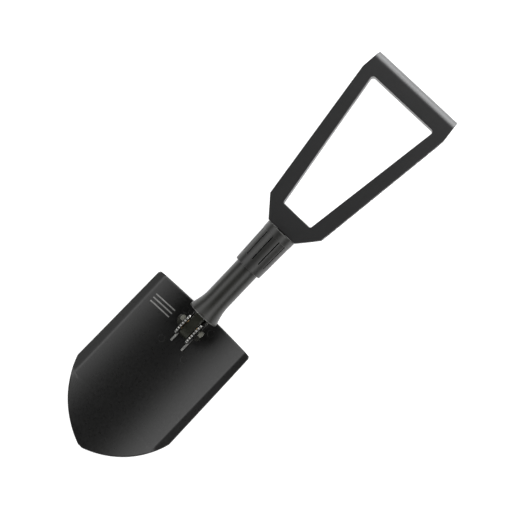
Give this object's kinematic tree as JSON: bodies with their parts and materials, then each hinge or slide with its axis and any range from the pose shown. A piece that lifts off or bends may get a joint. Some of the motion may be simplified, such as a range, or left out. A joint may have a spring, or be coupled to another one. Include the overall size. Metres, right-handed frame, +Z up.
{
  "type": "folding camp shovel",
  "caption": "Tri-fold camp shovel: dished pointed blade and open D handle that fold about a telescoping sleeve with a screw collar.",
  "frame": {"origin": "middle of the bottom of the bounding box, below the sleeve, where the blade's rivet domes rest", "axes": "+X along the shaft from the blade tip to the grip, +Y across, +Z up, the way the blade's hollow face looks"},
  "size_m": [0.5934, 0.1554, 0.0512],
  "materials": {
    "black_coated_steel": "satin black powder coat",
    "black_steel": "blackened",
    "friction_bronze": "plain",
    "grey_aluminium": "dark grey anodised, satin",
    "black_nylon": "moulded, fine grain",
    "black_rubber": "matte"
  },
  "bodies": {
    "shaft_core": {"shaft_link": "black_steel", "lower_guide_bush": "black_nylon", "upper_guide_bush": "black_nylon"},
    "blade_body": {"blade": "black_coated_steel", "hinge_bracket": "black_coated_steel", "bracket_rivet_1": "black_coated_steel", "bracket_rivet_2": "black_coated_steel", "bracket_rivet_3": "black_coated_steel", "bracket_rivet_4": "black_coated_steel", "hinge_bolt": "black_steel", "hinge_nut": "black_steel", "hinge_washer_left": "black_steel", "hinge_washer_right": "black_steel", "friction_washer_left": "friction_bronze", "friction_washer_right": "friction_bronze"},
    "lower_tube": {"flared_tube": "grey_aluminium"},
    "thrust_carrier": {"thrust_ring": "black_nylon"},
    "collar": {"locking_collar": "grey_aluminium", "collar_seal": "black_rubber"},
    "handle": {"handle_frame": "black_nylon", "handle_pin": "black_steel", "handle_pin_washer": "black_steel", "handle_pin_clip": "black_steel"}
  },
  "joints": [
    {"name": "blade_fold", "type": "hinge", "parent": "shaft_core", "child": "blade_body", "pos_m": [-0.0944, 0, 0.03072], "axis": [0, 1, 0], "range_deg": [0, 180]},
    {"name": "handle_fold", "type": "hinge", "parent": "shaft_core", "child": "handle", "pos_m": [0.0769, 0, 0.03072], "axis": [0, 1, 0], "range_deg": [0, 180]},
    {"name": "tube_slide", "type": "slide", "parent": "shaft_core", "child": "lower_tube", "axis": [1, 0, 0], "range_m": [0, 0.007]},
    {"name": "thrust_slide", "type": "slide", "parent": "shaft_core", "child": "thrust_carrier", "axis": [-1, 0, 0], "range_m": [0, 0.007]},
    {"name": "collar_turn", "type": "hinge", "parent": "thrust_carrier", "child": "collar", "pos_m": [0, 0, 0.03072], "axis": [-1, 0, 0], "range_deg": [0, 630]}
  ],
  "couplings": [
    {"joint": "tube_slide", "follows": "collar_turn", "m_per_rad": 0.0006366},
    {"joint": "thrust_slide", "follows": "collar_turn", "m_per_rad": 0.0006366}
  ]
}
